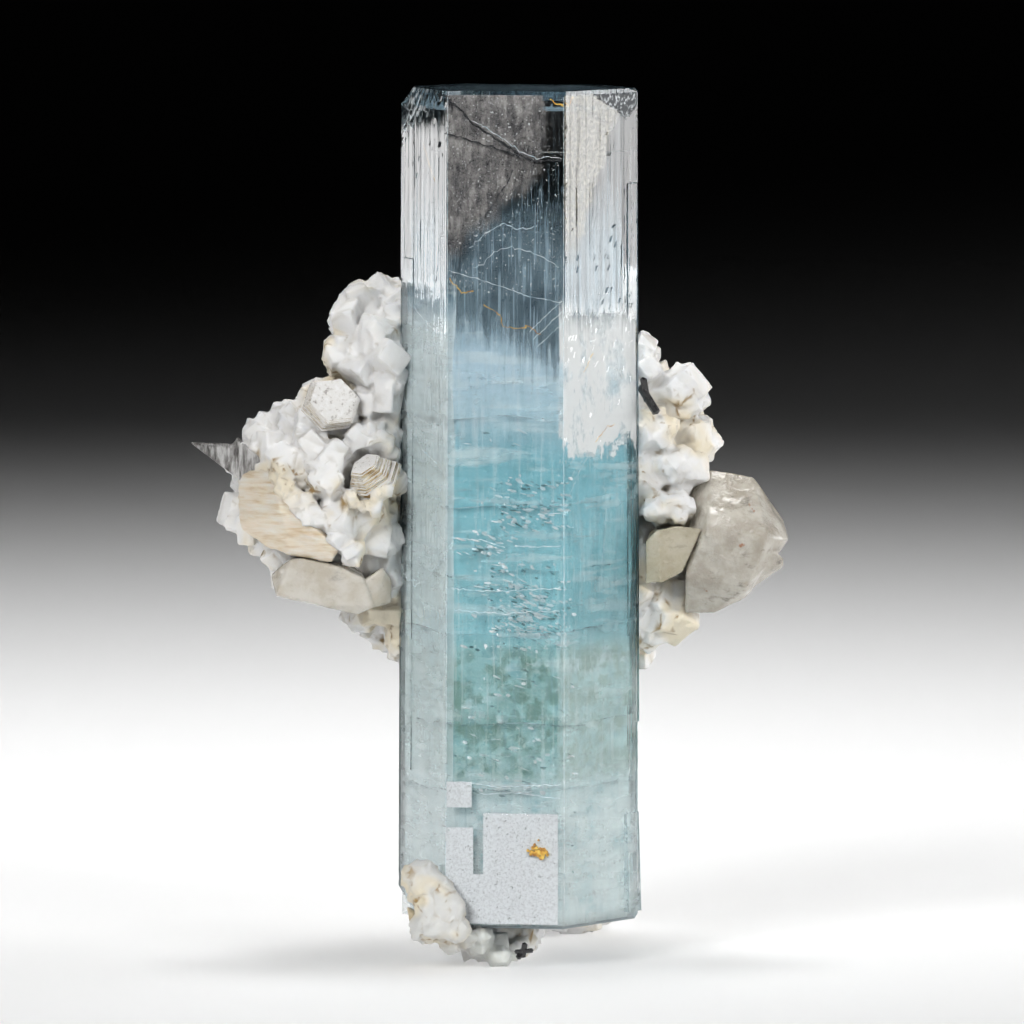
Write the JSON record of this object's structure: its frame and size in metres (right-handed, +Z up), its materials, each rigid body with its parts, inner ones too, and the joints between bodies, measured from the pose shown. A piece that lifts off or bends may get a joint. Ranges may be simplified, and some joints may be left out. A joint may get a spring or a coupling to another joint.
{
  "type": "aquamarine crystal on matrix",
  "caption": "Tall six-sided blue beryl prism standing against a lumpy white albite matrix with quartz, feldspar, mica and black tourmaline.",
  "frame": {"origin": "middle of the bounding box's bottom face, on the surface the specimen stands on", "axes": "+Z up along the aquamarine, +X to the right of its front, +Y to the back, where the matrix is"},
  "size_m": [0.0746, 0.0614, 0.1093],
  "materials": {
    "aquamarine": "clear blue, glassy, finely striated along its length",
    "albite": "white, sugary, slightly translucent, with rust-brown stains in its hollows",
    "quartz": "cloudy grey-beige, glassy",
    "feldspar": "cream, satin, striated",
    "smoky_quartz": "tan-brown, glassy",
    "mica": "silvery, pearly sheets with golden edges",
    "tourmaline": "black, glossy"
  },
  "bodies": {
    "root": {"aquamarine": "aquamarine", "albite_matrix": "albite", "quartz_right": "quartz", "quartz_right_inner": "quartz", "quartz_left": "quartz", "feldspar_left": "feldspar", "smoky_quartz": "smoky_quartz", "mica_book_upper": "mica", "mica_book_lower": "mica", "mica_wing": "mica", "tourmaline_right": "tourmaline", "tourmaline_base": "tourmaline"}
  },
  "joints": []
}
